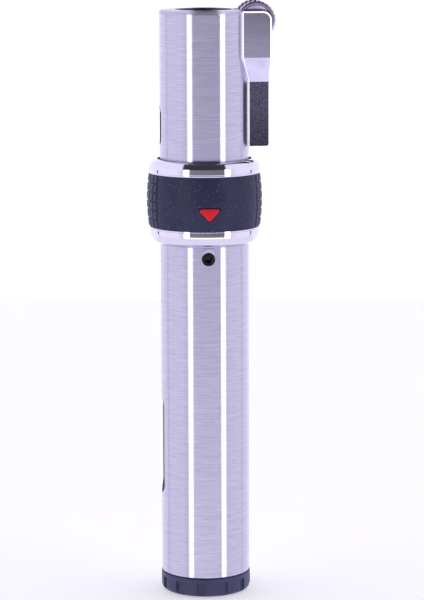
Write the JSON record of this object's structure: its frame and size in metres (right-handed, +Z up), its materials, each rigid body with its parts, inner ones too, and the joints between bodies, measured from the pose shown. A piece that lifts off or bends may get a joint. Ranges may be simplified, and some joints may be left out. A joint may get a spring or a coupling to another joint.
{
  "type": "butane torch",
  "caption": "Pen-shaped refillable butane torch with a pull-off striker cap, a turning gas ring, a fuel window and a flow knob round the filling port in its foot.",
  "frame": {"origin": "centre of the mouth of the filling port in the foot, on the plane the torch stands on", "axes": "+Z up along the tubes to the flame mouth; -Y through the red arrow and the set screw; +X through the striker housing; the fuel window faces -X"},
  "size_m": [0.0287, 0.0259, 0.1341],
  "materials": {
    "tube_steel": "brushed round the tube, satin",
    "striker_steel": "brushed along the tube, bright bevelled edges",
    "bezel_chrome": "mirror polished",
    "grip_rubber": "matte, moulded square pads",
    "arrow_red": "satin red inlay",
    "base_plastic": "satin moulded",
    "inner_plastic": "matte moulded",
    "tank_plastic": "clear moulded",
    "window_plastic": "smoked, gloss",
    "seal_rubber": "matte",
    "gasket": "matte red fluoro rubber",
    "brass": "turned",
    "alloy": "turned",
    "steel": "turned and ground",
    "black_steel": "black oxide",
    "spring_steel": "drawn wire",
    "file_steel": "hardened, cross-cut teeth",
    "flint_alloy": "ferrocerium, matte",
    "flow_felt": "pressed microporous pad"
  },
  "bodies": {
    "body": {"tank_end_plug": "inner_plastic", "tank_seal": "seal_rubber", "fill_valve_body": "brass", "fill_valve_plug": "brass", "flow_pad": "flow_felt", "feed_tube": "brass", "feed_seal": "seal_rubber", "fuel_tank": "tank_plastic", "tank_tube": "tube_steel", "sight_window": "window_plastic", "valve_body": "alloy", "set_screw": "black_steel", "gallery_plugs": "brass", "spindle_seal": "seal_rubber", "bore_plug": "brass", "wave_washer": "spring_steel", "retaining_nut": "steel", "burner_gasket": "gasket", "burner_base": "alloy", "burner_screws": "black_steel", "gas_jet": "brass", "mixing_tube": "steel", "flame_holder": "brass", "nozzle_collar": "brass", "flame_tube": "steel", "cap_grip_ring": "seal_rubber"},
    "knob": {"base_knob": "base_plastic", "knob_snap_ring": "spring_steel"},
    "regulator": {"regulator_nut": "brass"},
    "fill_stem": {"fill_valve_stem": "brass", "fill_valve_seal": "seal_rubber", "fill_valve_spring": "spring_steel"},
    "ring": {"ring_carrier": "inner_plastic", "lower_bezel": "bezel_chrome", "upper_bezel": "bezel_chrome", "grip_sleeve": "grip_rubber", "arrow_mark": "arrow_red"},
    "needle": {"needle_spindle": "brass", "drive_pin": "steel"},
    "cap": {"cap_tube": "tube_steel", "striker_housing": "striker_steel", "wheel_axle": "steel", "flint_tube": "brass", "flint": "flint_alloy", "flint_plunger": "brass", "flint_spring": "spring_steel", "flint_screw": "black_steel"},
    "wheel": {"spark_wheel": "file_steel", "thumb_discs": "steel"}
  },
  "joints": [
    {"name": "flow_knob_turn", "type": "hinge", "parent": "body", "child": "knob", "pos_m": [0, 0, 0], "axis": [0, 0, 1], "range_deg": [0, 270]},
    {"name": "regulator_travel", "type": "slide", "parent": "knob", "child": "regulator", "axis": [0, 0, -1], "range_m": [0, 0.0009]},
    {"name": "fill_valve_press", "type": "slide", "parent": "body", "child": "fill_stem", "axis": [0, 0, 1], "range_m": [0, 0.0012], "stiffness_N_per_m": 500, "springref_m": -0.0008, "deforming": ["fill_valve_spring"]},
    {"name": "gas_ring_turn", "type": "hinge", "parent": "body", "child": "ring", "pos_m": [0, 0, 0.0886], "axis": [0, 0, 1], "range_deg": [0, 90]},
    {"name": "needle_lift", "type": "slide", "parent": "ring", "child": "needle", "axis": [0, 0, 1], "range_m": [0, 0.001]},
    {"name": "cap_pull", "type": "slide", "parent": "body", "child": "cap", "axis": [0, 0, 1], "range_m": [0, 0.045]},
    {"name": "spark_wheel_spin", "type": "hinge", "parent": "cap", "child": "wheel", "pos_m": [0.0113, 0, 0.1297], "axis": [0, 1, 0], "continuous": true}
  ],
  "couplings": [
    {"joint": "flow_knob_turn", "follows": "regulator_travel", "rad_per_m": 5236},
    {"joint": "gas_ring_turn", "follows": "needle_lift", "rad_per_m": 1570.8}
  ]
}
